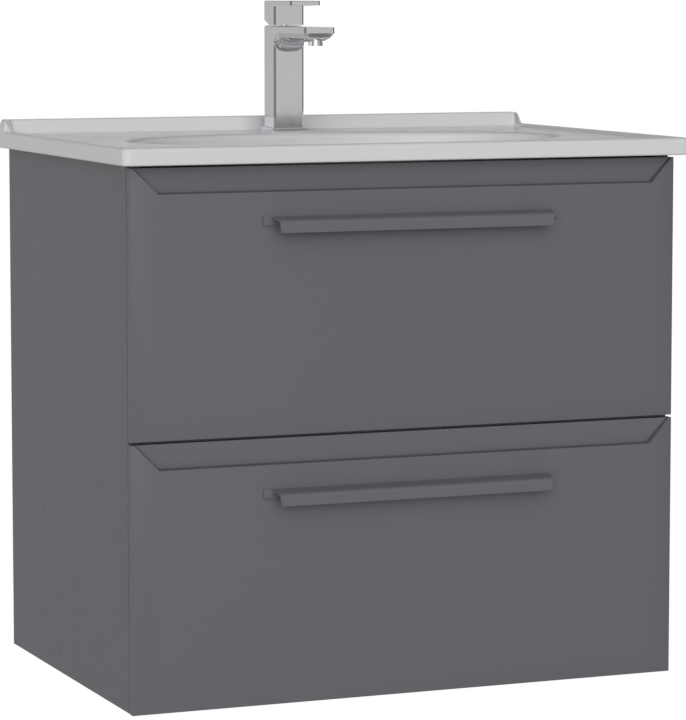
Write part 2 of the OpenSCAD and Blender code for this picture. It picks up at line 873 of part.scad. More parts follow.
module tap_stud() {
    color(steel) translate([0, stud_y, top_z - 34])
        cylinder(r = stud_r, h = column_z + 13 - top_z + 34);
}

// Clamping plate under the deck, with a hole for the stud and slots for the two inlets
module tap_clamp() {
    color(steel) translate([0, -tap_y, top_z - clamp_t]) difference() {
        linear_extrude(clamp_t) round_rect(48, 42, 4);
        translate([0, stud_y + tap_y, -1]) cylinder(r = stud_r + 0.3, h = 5);
        translate([-inlet_x - 6.5, -2, -1]) cube([2 * inlet_x + 13, 32, 5]);
    }
}

module tap_nut() {
    color(steel) translate([0, stud_y, top_z - clamp_t - stud_nut_h]) difference() {
        cylinder(r = 7.5, h = stud_nut_h, $fn = 6);
        translate([0, 0, -1]) cylinder(r = stud_r + 0.05, h = stud_nut_h + 2);
    }
}

side_left();
side_right();
bottom_panel();
rail_front();
rail_middle();
rail_rear_top();
rail_rear_bottom();
hanger_left();
hanger_right();
wall_plate_left();
wall_plate_right();
wall_buffers();
cam_fittings();
runner_screws();
upper_runner_outer_left();
upper_runner_outer_right();
lower_runner_outer_left();
lower_runner_outer_right();
upper_runner_middle_left();
upper_runner_middle_right();
lower_runner_middle_left();
lower_runner_middle_right();
upper_runner_inner_left();
upper_runner_inner_right();
lower_runner_inner_left();
lower_runner_inner_right();
upper_front();
upper_side_left();
upper_side_right();
upper_back();
upper_bottom();
upper_notch_wall();
upper_handle();
upper_handle_screws();
lower_front();
lower_side_left();
lower_side_right();
lower_back();
lower_bottom();
lower_handle();
lower_handle_screws();
basin();
basin_bowl();
waste_flange();
waste_washer();
waste_nut();
waste_plug();
trap_head();
trap_cup();
trap_nuts();
trap_outlet_pipe();
tap_base_plate();
tap_body();
tap_cartridge();
tap_spindle();
tap_lever();
tap_aerator();
tap_stud();
tap_clamp();
tap_nut();
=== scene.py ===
import json
import math

import bmesh
import bpy
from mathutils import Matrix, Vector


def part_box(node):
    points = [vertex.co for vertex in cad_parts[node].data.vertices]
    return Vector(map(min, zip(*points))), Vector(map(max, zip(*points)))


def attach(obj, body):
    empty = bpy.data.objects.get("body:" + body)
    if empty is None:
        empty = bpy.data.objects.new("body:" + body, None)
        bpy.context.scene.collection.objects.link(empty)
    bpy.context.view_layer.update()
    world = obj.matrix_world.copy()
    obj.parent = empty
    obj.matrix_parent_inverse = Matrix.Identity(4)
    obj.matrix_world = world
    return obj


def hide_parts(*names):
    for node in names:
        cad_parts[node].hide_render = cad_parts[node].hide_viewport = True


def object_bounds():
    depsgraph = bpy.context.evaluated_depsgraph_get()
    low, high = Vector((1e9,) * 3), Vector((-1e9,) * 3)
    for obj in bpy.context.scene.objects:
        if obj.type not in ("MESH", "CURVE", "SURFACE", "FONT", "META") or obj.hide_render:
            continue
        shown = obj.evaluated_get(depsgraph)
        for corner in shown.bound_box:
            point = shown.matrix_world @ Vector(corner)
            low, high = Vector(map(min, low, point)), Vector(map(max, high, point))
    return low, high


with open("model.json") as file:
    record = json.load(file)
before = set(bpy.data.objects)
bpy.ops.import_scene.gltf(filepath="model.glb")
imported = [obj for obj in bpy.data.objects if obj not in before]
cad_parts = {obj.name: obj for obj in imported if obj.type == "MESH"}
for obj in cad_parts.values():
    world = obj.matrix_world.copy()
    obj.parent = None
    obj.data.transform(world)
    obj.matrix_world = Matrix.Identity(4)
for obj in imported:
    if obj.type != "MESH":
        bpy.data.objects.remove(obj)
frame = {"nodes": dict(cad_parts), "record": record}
cad_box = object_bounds()

MM = 0.001
HAIR = 0.1 * MM  # how near to a face an edge has to be, to count as lying on it
SHARP = 35.0     # degrees: an edge that turns by more is drawn sharp, or is rounded off
RECORD = frame["record"]
BODY_OF = {n: b for b, nodes in RECORD["behaviour"]["bodies"].items() for n in nodes}
SLOT_OF = {s["node"]: s["material_slot"] for s in RECORD["subparts"]}


# ---------- small helpers ----------

def smooth(x):
    """A smooth step from 0 to 1."""
    x = min(1.0, max(0.0, x))
    return x * x * (3 - 2 * x)


def mix(a, b, t):
    return a + (b - a) * t


def arc(cy, cz, r, start, end, steps):
    """Points on an arc in degrees, both ends included."""
    angles = [math.radians(mix(start, end, k / steps)) for k in range(steps + 1)]
    return [(cy + r * math.cos(a), cz + r * math.sin(a)) for a in angles]


# ---------- materials ----------

def new_material(name, color, roughness, **sockets):
    mat = bpy.data.materials.new(name)
    mat.use_nodes = True
    shader = mat.node_tree.nodes["Principled BSDF"]
    shader.inputs["Base Color"].default_value = (*color, 1.0)
    shader.inputs["Roughness"].default_value = roughness
    for key, value in sockets.items():
        shader.inputs[key.replace("_", " ")].default_value = value
    return mat


def node(mat, kind, inputs=None, **settings):
    made = mat.node_tree.nodes.new(kind)
    for key, value in settings.items():
        setattr(made, key, value)
    for key, value in (inputs or {}).items():
        if isinstance(value, bpy.types.NodeSocket):
            mat.node_tree.links.new(value, made.inputs[key])
        else:
            made.inputs[key].default_value = value
    return made


def place(mat, stretch=(1.0, 1.0, 1.0)):
    """The point on the piece in the object's own frame, in metres, stretched along its axes."""
    where = node(mat, "ShaderNodeTexCoord")
    mapped = node(mat, "ShaderNodeMapping", {"Vector": where.outputs["Object"], "Scale": stretch})
    return mapped.outputs["Vector"]


def noise(mat, scale, detail, stretch=(1.0, 1.0, 1.0), rough=0.5):
    """Noise with about so many waves to a metre."""
    made = node(mat, "ShaderNodeTexNoise", {
        "Vector": place(mat, stretch), "Scale": scale, "Detail": detail, "Roughness": rough})
    return made.outputs["Fac"]


def spread(mat, value, low, high, from_low=0.3, from_high=0.7):
    """The value, taken from its usual range to low..high."""
    made = node(mat, "ShaderNodeMapRange", {
        "Value": value, "From Min": from_low, "From Max": from_high, "To Min": low, "To Max": high})
    return made.outputs["Result"]


def shades(mat, value, dark, light, low=0.3, high=0.7):
    """A colour from dark to light as the value goes from low to high."""
    ramp = node(mat, "ShaderNodeValToRGB", {"Fac": value})
    first, last = ramp.color_ramp.elements
    first.position, first.color = low, (*dark, 1.0)
    last.position, last.color = high, (*light, 1.0)
    return ramp.outputs["Color"]


def add_bump(mat, value, depth):
    """Bumps of this depth in metres, on top of any that the material already has."""
    shader = mat.node_tree.nodes["Principled BSDF"]
    inputs = {"Height": value, "Distance": depth, "Strength": 1.0}
    if shader.inputs["Normal"].is_linked:
        inputs["Normal"] = shader.inputs["Normal"].links[0].from_socket
    made = node(mat, "ShaderNodeBump", inputs)
    mat.node_tree.links.new(made.outputs["Normal"], shader.inputs["Normal"])


def feed(mat, socket, value):
    shader = mat.node_tree.nodes["Principled BSDF"]
    mat.node_tree.links.new(value, shader.inputs[socket])


def tint(color, factor):
    return tuple(c * factor for c in color)


def lacquer(name, color, peel_scale, peel_depth, rough_low, rough_high):
    """Sprayed paint: a fine orange peel, faint clouds of tone and of gloss."""
    mat = new_material(name, color, 0.45)
    clouds = noise(mat, 5.0, 4.0)
    feed(mat, "Base Color", shades(mat, clouds, tint(color, 0.992), tint(color, 1.008)))
    feed(mat, "Roughness", spread(mat, noise(mat, 90.0, 5.0, rough=0.6), rough_low, rough_high))
    add_bump(mat, noise(mat, peel_scale, 2.0), peel_depth)
    return mat


def melamine():
    """Light grey drawer board with a fine linen print pressed into it."""
    color = (0.44, 0.44, 0.445)
    mat = new_material("light_board", color, 0.5)
    warp = noise(mat, 1.0, 3.0, stretch=(30.0, 30.0, 1100.0))
    weft = noise(mat, 1.0, 3.0, stretch=(1100.0, 1100.0, 30.0))
    cloth = node(mat, "ShaderNodeMath", {0: warp, 1: weft}, operation="ADD").outputs[0]
    feed(mat, "Base Color", shades(mat, cloth, tint(color, 0.93), tint(color, 1.06), 0.8, 1.2))
    feed(mat, "Roughness", spread(mat, cloth, 0.42, 0.58, 0.8, 1.2))
    add_bump(mat, cloth, 0.06 * MM)
    return mat


def glazed_ceramic():
    """Gloss glaze with slight pooling, over bare matt clay on the faces that look down."""
    glaze, clay = (0.755, 0.765, 0.779), (0.70, 0.685, 0.65)
    mat = new_material("glaze", glaze, 0.2, Specular_IOR_Level=0.38)
    facing = node(mat, "ShaderNodeNewGeometry").outputs["Normal"]
    down = node(mat, "ShaderNodeSeparateXYZ", {"Vector": facing}).outputs["Z"]
    bare = spread(mat, down, 1.0, 0.0, -0.9, -0.6)
    pooled = shades(mat, noise(mat, 7.0, 3.0), tint(glaze, 0.99), tint(glaze, 1.01))
    gritty = shades(mat, noise(mat, 260.0, 4.0), tint(clay, 0.9), tint(clay, 1.05))
    color = node(mat, "ShaderNodeMix", {"Factor": bare}, data_type="RGBA")
    mat.node_tree.links.new(pooled, color.inputs["A"])
    mat.node_tree.links.new(gritty, color.inputs["B"])
    feed(mat, "Base Color", color.outputs["Result"])
    shine = spread(mat, noise(mat, 40.0, 4.0), 0.14, 0.22)
    rough = node(mat, "ShaderNodeMix", {"Factor": bare, "A": shine, "B": 0.85}, data_type="FLOAT")
    feed(mat, "Roughness", rough.outputs["Result"])
    add_bump(mat, noise(mat, 28.0, 2.0), 0.04 * MM)
    add_bump(mat, noise(mat, 900.0, 2.0), 0.012 * MM)
    return mat


def plated_chrome():
    """Polished chrome with faint polishing lines and dried water marks."""
    color = (0.85, 0.855, 0.865)
    mat = new_material("chrome", color, 0.08, Metallic=1.0)
    marks = noise(mat, 160.0, 5.0, rough=0.65)
    feed(mat, "Base Color", shades(mat, marks, tint(color, 0.97), tint(color, 1.01), 0.25, 0.6))
    feed(mat, "Roughness", spread(mat, marks, 0.16, 0.07, 0.25, 0.6))
    add_bump(mat, noise(mat, 1.0, 2.0, stretch=(900.0, 900.0, 120.0)), 0.004 * MM)
    return mat


def zinc_plated():
    """Pressed steel with a zinc skin: pale crystals and rolling lines along the sheet."""
    color = (0.50, 0.515, 0.53)
    mat = new_material("zinc_steel", color, 0.35, Metallic=1.0)
    grains = node(mat, "ShaderNodeTexVoronoi", {"Vector": place(mat), "Scale": 170.0})
    cell = node(mat, "ShaderNodeSeparateColor", {"Color": grains.outputs["Color"]}).outputs["Red"]
    feed(mat, "Base Color", shades(mat, cell, tint(color, 0.9), tint(color, 1.12), 0.0, 1.0))
    lines = noise(mat, 1.0, 3.0, stretch=(1600.0, 40.0, 1600.0))
    feed(mat, "Roughness", spread(mat, lines, 0.28, 0.44))
    add_bump(mat, lines, 0.02 * MM)
    return mat


def moulded_plastic():
    """White moulded plastic: a fine spark texture and faint flow marks."""
    color = (0.78, 0.78, 0.77)
    mat = new_material("white_plastic", color, 0.38)
    flow = noise(mat, 18.0, 3.0, stretch=(1.0, 1.0, 0.3))
    feed(mat, "Base Color", shades(mat, flow, tint(color, 0.965), tint(color, 1.02)))
    feed(mat, "Roughness", spread(mat, noise(mat, 400.0, 2.0), 0.33, 0.45))
    add_bump(mat, noise(mat, 1500.0, 1.0), 0.02 * MM)
    return mat


def black_rubber():
    """Matt black rubber with a little grey dust."""
    color = (0.03, 0.03, 0.031)
    mat = new_material("rubber", color, 0.75)
    dust = noise(mat, 120.0, 5.0, rough=0.7)
    feed(mat, "Base Color", shades(mat, dust, tint(color, 0.8), tint(color, 2.0), 0.35, 0.75))
    feed(mat, "Roughness", spread(mat, dust, 0.65, 0.85))
    add_bump(mat, noise(mat, 1300.0, 2.0), 0.04 * MM)
    return mat


GREY = (0.142, 0.146, 0.160)
MATERIALS = {
    "grey_lacquer": lacquer("grey_lacquer", GREY, 700.0, 0.02 * MM, 0.42, 0.50),
    "handle_lacquer": lacquer("handle_lacquer", tint(GREY, 1.01), 1500.0, 0.03 * MM, 0.40, 0.50),
    "drawer_board": melamine(),
    "ceramic": glazed_ceramic(),
    "chrome": plated_chrome(),
    "zinc_steel": zinc_plated(),
    "white_plastic": moulded_plastic(),
    "rubber": black_rubber(),
}


# ---------- mesh helpers ----------

def finish_piece(name, bm, nodes, sharp_angle=SHARP):
    """A piece that rides with these CAD nodes and stands for them; with no nodes, a bare tool."""
    bmesh.ops.recalc_face_normals(bm, faces=bm.faces)
    for face in bm.faces:
        face.smooth = True
    for edge in bm.edges:
        if len(edge.link_faces) == 2 and edge.calc_face_angle(0.0) > math.radians(sharp_angle):
            edge.smooth = False
    mesh = bpy.data.meshes.new(name)
    bm.to_mesh(mesh)
    bm.free()
    obj = bpy.data.objects.new(name, mesh)
    bpy.context.scene.collection.objects.link(obj)
    if nodes:
        mesh.materials.append(MATERIALS[SLOT_OF[nodes[0]]])
        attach(obj, BODY_OF[nodes[0]])
        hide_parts(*nodes)
        weigh_normals(obj)
    return obj


def weigh_normals(obj):
    """Shading that follows the large faces, so that rounded edges look even."""
    made = obj.modifiers.new("even_shading", "WEIGHTED_NORMAL")
    made.keep_sharp = True


def crease(obj, angle):
    """Marks the edges of a joined mesh sharp again, and smooths the rest."""
    bm = bmesh.new()
    bm.from_mesh(obj.data)
    for face in bm.faces:
        face.smooth = True
    for edge in bm.edges:
        edge.smooth = len(edge.link_faces) != 2 or edge.calc_face_angle(0.0) < math.radians(angle)
    bm.to_mesh(obj.data)
    bm.free()
    weigh_normals(obj)


def cad_mesh(name):
    """A CAD node's mesh as a bmesh, with its flat faces whole again."""
    same_point, same_plane = 1e-6, math.radians(0.3)
    bm = bmesh.new()
    bm.from_mesh(frame["nodes"][name].data)
    bmesh.ops.remove_doubles(bm, verts=bm.verts, dist=same_point)
    bmesh.ops.dissolve_limit(bm, angle_limit=same_plane, verts=bm.verts, edges=bm.edges)
    return bm


def round_edges(bm, width, segments, wanted=None):
    """Rounds the outward edges that are long enough for the width."""
    shortest = 2.2 * width
    edges = [
        e for e in bm.edges
        if len(e.link_faces) == 2 and e.calc_length() > shortest
        and e.calc_face_angle_signed(0.0) > math.radians(SHARP)
        and (wanted is None or wanted(e))
    ]
    bmesh.ops.bevel(
        bm, geom=edges, offset=width, offset_type="OFFSET", segments=segments,
        profile=0.5, affect="EDGES", clamp_overlap=False)


def softened(name, width, segments):
    """A piece that stands for one CAD node, the same shape with worn or pressed edges."""
    bm = cad_mesh(name)
    round_edges(bm, width, segments)
    finish_piece(name + "_piece", bm, [name])


def rings_mesh(rings, closed):
    """A skin over rings of points; closed joins the last ring to the first."""
    bm = bmesh.new()
    rows = [[bm.verts.new(p) for p in ring] for ring in rings]
    pairs = list(zip(rows, rows[1:]))
    if closed:
        pairs.append((rows[-1], rows[0]))
    for low, high in pairs:
        for k in range(len(low)):
            after = (k + 1) % len(low)
            bm.faces.new((low[k], low[after], high[after], high[k]))
    if not closed:
        bm.faces.new(rows[0])
        bm.faces.new(rows[-1])
    return bm


def combine(obj, tool, operation):
    """Joins or cuts obj with the tool, which is then removed."""
    cut = obj.modifiers.new("combine", "BOOLEAN")
    cut.operation, cut.solver, cut.object = operation, "EXACT", tool
    bpy.context.view_layer.update()
    solid = obj.evaluated_get(bpy.context.evaluated_depsgraph_get())
    mesh = bpy.data.meshes.new_from_object(solid)
    obj.modifiers.clear()
    obj.data = mesh
    bpy.data.objects.remove(tool)


def tool_between(plan, low, high):
    """An upright prism over a plan of points, for combine()."""
    rings = [[(x, y, z) for x, y in plan] for z in (low, high)]
    return finish_piece("tool", rings_mesh(rings, False), [])


def cylinder_tool(centre, radius, low, high):
    """An upright cylinder for combine()."""
    steps = 64
    angles = [math.tau * k / steps for k in range(steps)]
    plan = [(centre[0] + radius * math.cos(a), centre[1] + radius * math.sin(a)) for a in angles]
    return tool_between(plan, low, high)


# ---------- basin ----------

def even(start, end, steps):
    """Evenly spread shares of a side, without the end."""
    return [mix(start, end, k / steps) for k in range(steps)]


# Where the points lie along each side of the plan, as shares of that side. They are close together
# near the wall, where the raised edge begins and ends.
NEAR_WALL, NEAR_CORNER = 0.9, 0.013
SIDE_STEPS = even(0, NEAR_WALL, 24) + even(NEAR_WALL, 1, 30) + [1.0]
BACK_STEPS = (even(0, NEAR_CORNER, 14) + even(NEAR_CORNER, 1 - NEAR_CORNER, 60)
              + even(1 - NEAR_CORNER, 1, 14) + [1.0])
FRONT_STEPS = even(0, 1, 72) + [1.0]
CORNER_STEPS = 10


def outline(half_w, front, back, r_front, r_back):
    """Plan points round a rectangle with round corners, the same number at any size."""
    points = [(half_w, mix(front + r_front, back - r_back, u)) for u in SIDE_STEPS]
    turn = [k / CORNER_STEPS for k in range(1, CORNER_STEPS)]

    def corner(x, y, r, start):
        angles = [math.radians(start + 90 * u) for u in turn]
        return [(x + r * math.cos(a), y + r * math.sin(a)) for a in angles]

    points += corner(half_w - r_back, back - r_back, r_back, 0)
    points += [(mix(half_w - r_back, r_back - half_w, u), back) for u in BACK_STEPS]
    points += corner(r_back - half_w, back - r_back, r_back, 90)
    points += [(-half_w, mix(back - r_back, front + r_front, 1 - u)) for u in reversed(SIDE_STEPS)]
    points += corner(r_front - half_w, front + r_front, r_front, 180)
    points += [(mix(r_front - half_w, half_w - r_front, u), front) for u in FRONT_STEPS]
    points += corner(half_w - r_front, front + r_front, r_front, 270)
    return points


def basin():
    """One glazed casting: soft rim, sunk deck, raised edge at the wall and a wide oval bowl."""
    low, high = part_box("basin")
    half_w, depth, upstand_top = high.x, -low.y, high.z
    upstand_h, rim_t, deck_drop, rim_w, upstand_t = 13 * MM, 19 * MM, 3 * MM, 12 * MM, 24 * MM
    rim_z = upstand_top - upstand_h
    under_z, deck_z = rim_z - rim_t, rim_z - deck_drop
    step_in, step_w = rim_w - 1 * MM, 5 * MM
    slope_y, slope_w = -upstand_t - 1.5 * MM, 4.5 * MM
    end_in, end_slope, end_curve = 0.5 * MM, 6.5 * MM, 1.4
    edge_r, back_r, foot_r = 4.5 * MM, 1.5 * MM, 2 * MM
    corner_r, back_corner_r, deck_corner_r = 8 * MM, 2 * MM, 10 * MM
    bowl_a, bowl_b, bowl_y, bowl_depth = 252 * MM, 146 * MM, -260 * MM, 95 * MM
    bowl_flat, bowl_steps = 64 * MM, 60
    lip, lip_in = 9 * MM, 1.5 * MM
    shell, floor_t = 14 * MM, 11 * MM
    seat_r, seat_d, drain_r, tap_hole_r = 32 * MM, 3 * MM, 22.5 * MM, 17.5 * MM
    floor_z = deck_z - bowl_depth

    def top(x, y):
        """Height of the upper surface outside the bowl."""
        inward = min(half_w - abs(x), depth + y)
        rim = 1 - smooth((inward - step_in) / step_w)
        raised = smooth((y - slope_y) / slope_w)
        climb = min(1.0, max(0.0, (half_w - abs(x) - end_in) / end_slope))
        raised *= 1 - (1 - climb) ** end_curve
        return deck_z + deck_drop * rim + (upstand_h + deck_drop * (1 - rim)) * raised

    def rectangle(inset, back_inset, r_back=back_corner_r):
        return outline(half_w - inset, inset - depth, -back_inset, corner_r, r_back)

    def foot_rings():
        """The small round along the lower edge."""
        steps = 4
        for k in range(steps + 1):
            a = math.radians(90 * k / steps)
            gap = foot_r * (1 - math.sin(a))
            z = under_z + foot_r * (1 - math.cos(a))
            yield [(x, y, z) for x, y in rectangle(gap, gap / 2)]

    def edge_rings():
        """The round upper edge, which is tighter along the wall."""
        steps, fade_y, fade = 7, 12 * MM, 8 * MM
        outer, inner = rectangle(0, 0), rectangle(edge_r, back_r)
        radii = [mix(edge_r, back_r, smooth((y + fade_y) / fade)) for x, y in outer]
        for k in range(steps + 1):
            a = math.radians(90 * k / steps)
            ring = []
            for (x, y), (xi, yi), r in zip(outer, inner, radii):
                t = 1 - math.cos(a)
                px, py = mix(x, xi, t), mix(y, yi, t)
                ring.append((px, py, top(px, py) - r * (1 - math.sin(a))))
            yield ring

    def deck_rings():
        """The rim's top, its step down to the deck and the raised edge's foot.

        Each row holds the inset at the sides and front and the inset at the back, in mm, and how far
        the radius of the back corners has grown, from 0 to 1.
        """
        rows = [(6, 4, 0.1), (8, 9, 0.3), (9.5, 14, 0.5), (10.5, 18, 0.7), (11.2, 20.5, 0.85),
                (12, 21.5, 0.9), (12.8, 22.3, 0.95), (13.6, 23.1, 1), (14.4, 23.9, 1),
                (15.2, 24.7, 1), (16, 25.5, 1), (17.5, 27, 1), (20, 31, 1)]
        for inset, back_inset, share in rows:
            plan = rectangle(inset * MM, back_inset * MM, mix(back_corner_r, deck_corner_r, share))
            yield [(x, y, top(x, y)) for x, y in plan]

    pocket = rectangle(20 * MM, 31 * MM, deck_corner_r)
    angles = [math.atan2((y - bowl_y) / (bowl_b + 60 * MM), x / half_w) for x, y in pocket]

    def oval(a, b, z):
        """A ring round the bowl's middle, with a point for each point of the deck's inner ring."""
        return [(a * math.cos(t), bowl_y + b * math.sin(t), z) for t in angles]

    def section(share, wide, deep):
        """Half-axes and depth of the bowl at a share of the quarter turn from rim to floor."""
        t = math.radians(90 * share)
        a = bowl_flat + (wide - bowl_flat) * math.cos(t) ** 0.62
        return a, a * bowl_b / bowl_a, deep * math.sin(t) ** 1.15

    def bowl_rings():
        """The bowl's round lip and its inside down to the floor."""
        lip_steps, lip_fall, under_lip = 6, lip * 0.7, lip * 0.9
        yield oval(bowl_a + lip + 14 * MM, bowl_b + lip + 10 * MM, deck_z)
        for k in range(lip_steps + 1):
            a = math.radians(90 * k / lip_steps)
            out = lip * (1 - math.sin(a)) - lip_in
            yield oval(bowl_a + out, bowl_b + out, deck_z - lip_fall * (1 - math.cos(a)))
        for k in range(5, bowl_steps):
            a, b, down = section(k / bowl_steps, bowl_a - lip_in, bowl_depth)
            if down > under_lip:
                yield oval(a, b, deck_z - down)

    def drain_rings():
        """The floor, the waste's seat with a soft edge, and the hole through it."""
        for share in (0.0, 0.5):
            yield oval(mix(bowl_flat, seat_r, share), seat_r + mix(4, 2, share) * MM,
                       floor_z + mix(0.4, 0.25, share) * MM)
        for r, z in ((seat_r + 1.2 * MM, floor_z + 0.2 * MM), (seat_r + 0.3 * MM, floor_z - 0.1 * MM),
                     (seat_r, floor_z - 0.8 * MM), (seat_r, floor_z - seat_d),
                     (drain_r, floor_z - seat_d), (drain_r, floor_z - floor_t)):
            yield oval(r, r, z)

    def underside_rings():
        """The bowl's outside, from the drain up to the underside of the rim."""
        yield oval(bowl_flat, seat_r + 4 * MM, floor_z - floor_t)
        for k in range(bowl_steps - 3, 2, -2):
            a, b, down = section(k / bowl_steps, bowl_a + shell, bowl_depth + floor_t)
            if down > deck_z - under_z + 2 * MM:
                yield oval(a, b, deck_z - down)
        yield oval(bowl_a + shell + 1 * MM, bowl_b + shell * 0.6, under_z)

    rings = [*foot_rings(), *edge_rings(), *deck_rings(), *bowl_rings(), *drain_rings(),
             *underside_rings()]
    only_sharpest = 60.0
    skin = rings_mesh(rings, True)
    obj = finish_piece("basin_casting", skin, ["basin", "basin_bowl"], only_sharpest)
    tap_lo, tap_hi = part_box("tap_base_plate")
    hole = cylinder_tool((tap_lo + tap_hi) / 2, tap_hole_r, under_z - 5 * MM, rim_z + 5 * MM)
    combine(obj, hole, "DIFFERENCE")
    weigh_normals(obj)


# ---------- handles ----------

def handle(name):
    """A bent metal strip: a flat fixing flange with a lip that curls forwards and down."""
    low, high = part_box(name)
    half, wall, tip, top, bottom = high.x, high.y, low.y, high.z, low.z
    sheet, flange_h, flange_r, inset, taper = 2.2 * MM, 9 * MM, 0.6 * MM, 9 * MM, 4 * MM
    flat, drop, bend, knee = 3 * MM, 2.3 * MM, 4.6 * MM, 6 * MM
    nose, corner, soft, buried = 0.5 * MM, 2.5 * MM, 0.3 * MM, 0.4 * MM
    end_zone, long_edge = 7 * MM, 20 * MM
    hook_half = half - inset
    run, fall = wall - flat - tip - bend, drop + bend
    lean = math.degrees(math.atan2(fall, run) - math.asin(bend / math.hypot(run, fall)))
    knee_y = wall - flat + knee * math.tan(math.radians(lean / 2))
    knee_z, bend_z = top - knee, top - drop - bend
    section = [(wall - buried, top)]
    section += arc(knee_y, knee_z, knee, 90, 90 + lean, 4)
    section += arc(tip + bend, bend_z, bend, 90 + lean, 180, 16)
    section += arc(tip + nose, bottom + nose, nose, 180, 270, 4)
    section += arc(tip + sheet - nose, bottom + nose, nose, 270, 360, 4)
    section += arc(tip + bend, bend_z, bend - sheet, 180, 90 + lean, 16)
    section += arc(knee_y, knee_z, knee - sheet, 90 + lean, 90, 4)
    section += [(wall - buried, top - sheet)]

    def end(y, z):
        """Half the lip's length at a point of its section."""
        x = hook_half - taper * min(1.0, max(0.0, (wall - sheet - y) / (wall - sheet - tip)))
        rest = corner - (z - bottom)
        if rest > 0:
            x -= corner - math.sqrt(corner ** 2 - rest ** 2)
        return x

    def at_an_end(edge):
        across = abs(edge.verts[0].co.x - edge.verts[1].co.x) < 1 * MM
        return across and min(abs(v.co.x) for v in edge.verts) > hook_half - end_zone

    slices = [-1, -0.9, -0.5, 0, 0.5, 0.9, 1]
    bm = rings_mesh([[(s * end(y, z), y, z) for y, z in section] for s in slices], False)
    round_edges(bm, soft, 2, at_an_end)
    obj = finish_piece(name + "_lip", bm, [name])
    face = []
    for cx, cz, start in ((half - flange_r, top - flange_r, 0), (flange_r - half, top - flange_r, 90),
                          (flange_r - half, top - flange_h + flange_r, 180),
                          (half - flange_r, top - flange_h + flange_r, 270)):
        face += arc(cx, cz, flange_r, start, start + 90, 6)
    plate = rings_mesh([[(x, y, z) for x, z in face] for y in (wall, wall - sheet)], False)
    round_edges(plate, soft, 2, lambda e: e.calc_length() > long_edge)
    combine(obj, finish_piece("tool", plate, []), "UNION")
    weigh_normals(obj)


# ---------- tap ----------

COLUMN_D = 34 * MM     # the tap's column and its lever's block, from front to back
CORNER_CUT = 2.2 * MM  # how far the tap's upright corners are cut off
TAP_SHARP = 20.0       # degrees, as SHARP


def prism_outline(half_w, half_d, cut):
    """A rectangle with its four corners cut flat."""
    return [(half_w, cut - half_d), (half_w, half_d - cut),
            (half_w - cut, half_d), (cut - half_w, half_d),
            (-half_w, half_d - cut), (-half_w, cut - half_d),
            (cut - half_w, -half_d), (half_w - cut, -half_d)]


def tap_body():
    """Square column with cut corners and a flat spout with a boat-shaped belly."""
    low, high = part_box("tap_body")
    half_w, top, tip_y = high.x, high.z, low.y
    mid_y, front_y = high.y - COLUMN_D / 2, high.y - COLUMN_D
    fine, foot = 0.4 * MM, 0.3 * MM
    slab, tip_slab, belly, root, nose = 7.2 * MM, 6.7 * MM, 9.8 * MM, 13.5 * MM, 17 * MM
    tip_fade, belly_in, belly_steps = 20 * MM, 0.9 * MM, 24
    bore_r, bore_d = 14.5 * MM, 30 * MM
    length = front_y - tip_y

    def cross(along):
        """The spout's section at a distance from its tip, from one top edge round to the other."""
        wide = half_w - max(0.0, CORNER_CUT - along)
        over = min(root, max(0.0, along - (length - root)))
        web = root - math.sqrt(root ** 2 - over ** 2)
        hull = belly * math.sqrt(max(0.0, 1 - (1 - min(1.0, along / nose)) ** 2))
        under = top - mix(tip_slab, slab, smooth(along / tip_fade)) - web
        points = [(wide - fine, top), (wide, top - fine), (wide, under)]
        for k in range(1, belly_steps):
            a = math.radians(180 * k / belly_steps)
            side = math.copysign(abs(math.cos(a)) ** 0.75, math.cos(a))
            points.append(((wide - belly_in) * side, under - hull * math.sin(a) ** 0.85))
        points += [(-wide, under), (-wide, top - fine), (fine - wide, top)]
        return points

    levels = [(low.z, 0.2 * MM), (low.z + foot, 0), (top - fine, 0), (top, fine)]
    rings = [[(x, mid_y + y, z)
              for x, y in prism_outline(half_w - inset, COLUMN_D / 2 - inset, CORNER_CUT)]
             for z, inset in levels]
    obj = finish_piece("tap_column", rings_mesh(rings, False), ["tap_body"], TAP_SHARP)
    steps = [0, CORNER_CUT] + [mix(CORNER_CUT, nose, k / 10) for k in range(1, 11)]
    steps += [mix(nose, length - root, k / 6) for k in range(1, 7)]
    steps += [mix(length - root, length, math.sin(math.radians(90 * k / 16))) for k in range(1, 17)]
    steps += [length + 4 * MM]
    rings = [[(x, tip_y + s, z) for x, z in cross(min(s, length))] for s in steps]
    combine(obj, finish_piece("tool", rings_mesh(rings, False), []), "UNION")
    combine(obj, cylinder_tool((0, mid_y), bore_r, top - bore_d, top + 5 * MM), "DIFFERENCE")
    crease(obj, TAP_SHARP)


def corner_wedge(x, y, out_x, out_y, low, high):
    """The upright sliver that is cut off a corner; out_x and out_y point away from the piece."""
    over = 1 * MM
    back = CORNER_CUT + over
    plan = [(x + out_x * over, y - out_y * back), (x + out_x * over, y + out_y * over),
            (x - out_x * back, y + out_y * over)]
    return tool_between(plan, low, high)


def tap_lever():
    """Block and flat plate in one piece, with the same cut corners as the column."""
    low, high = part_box("tap_lever")
    plate_t, top_bevel, least = 6.4 * MM, 0.35 * MM, 6 * MM
    bm = cad_mesh("tap_lever")
    round_edges(bm, top_bevel, 1, lambda e: e.calc_length() > least
                and all(v.co.z > high.z - HAIR for v in e.verts))
    obj = finish_piece("tap_lever_blade", bm, ["tap_lever"], TAP_SHARP)
    over_top, under_plate = high.z + 1 * MM, high.z - plate_t - HAIR
    corners = ((high.y, 1, over_top), (low.y, -1, over_top), (high.y - COLUMN_D, -1, under_plate))
    for side in (-1, 1):
        for y, out_y, top in corners:
            wedge = corner_wedge(side * high.x, y, side, out_y, low.z - 1 * MM, top)
            combine(obj, wedge, "DIFFERENCE")
    crease(obj, TAP_SHARP)


# ---------- everything else follows its CAD node ----------

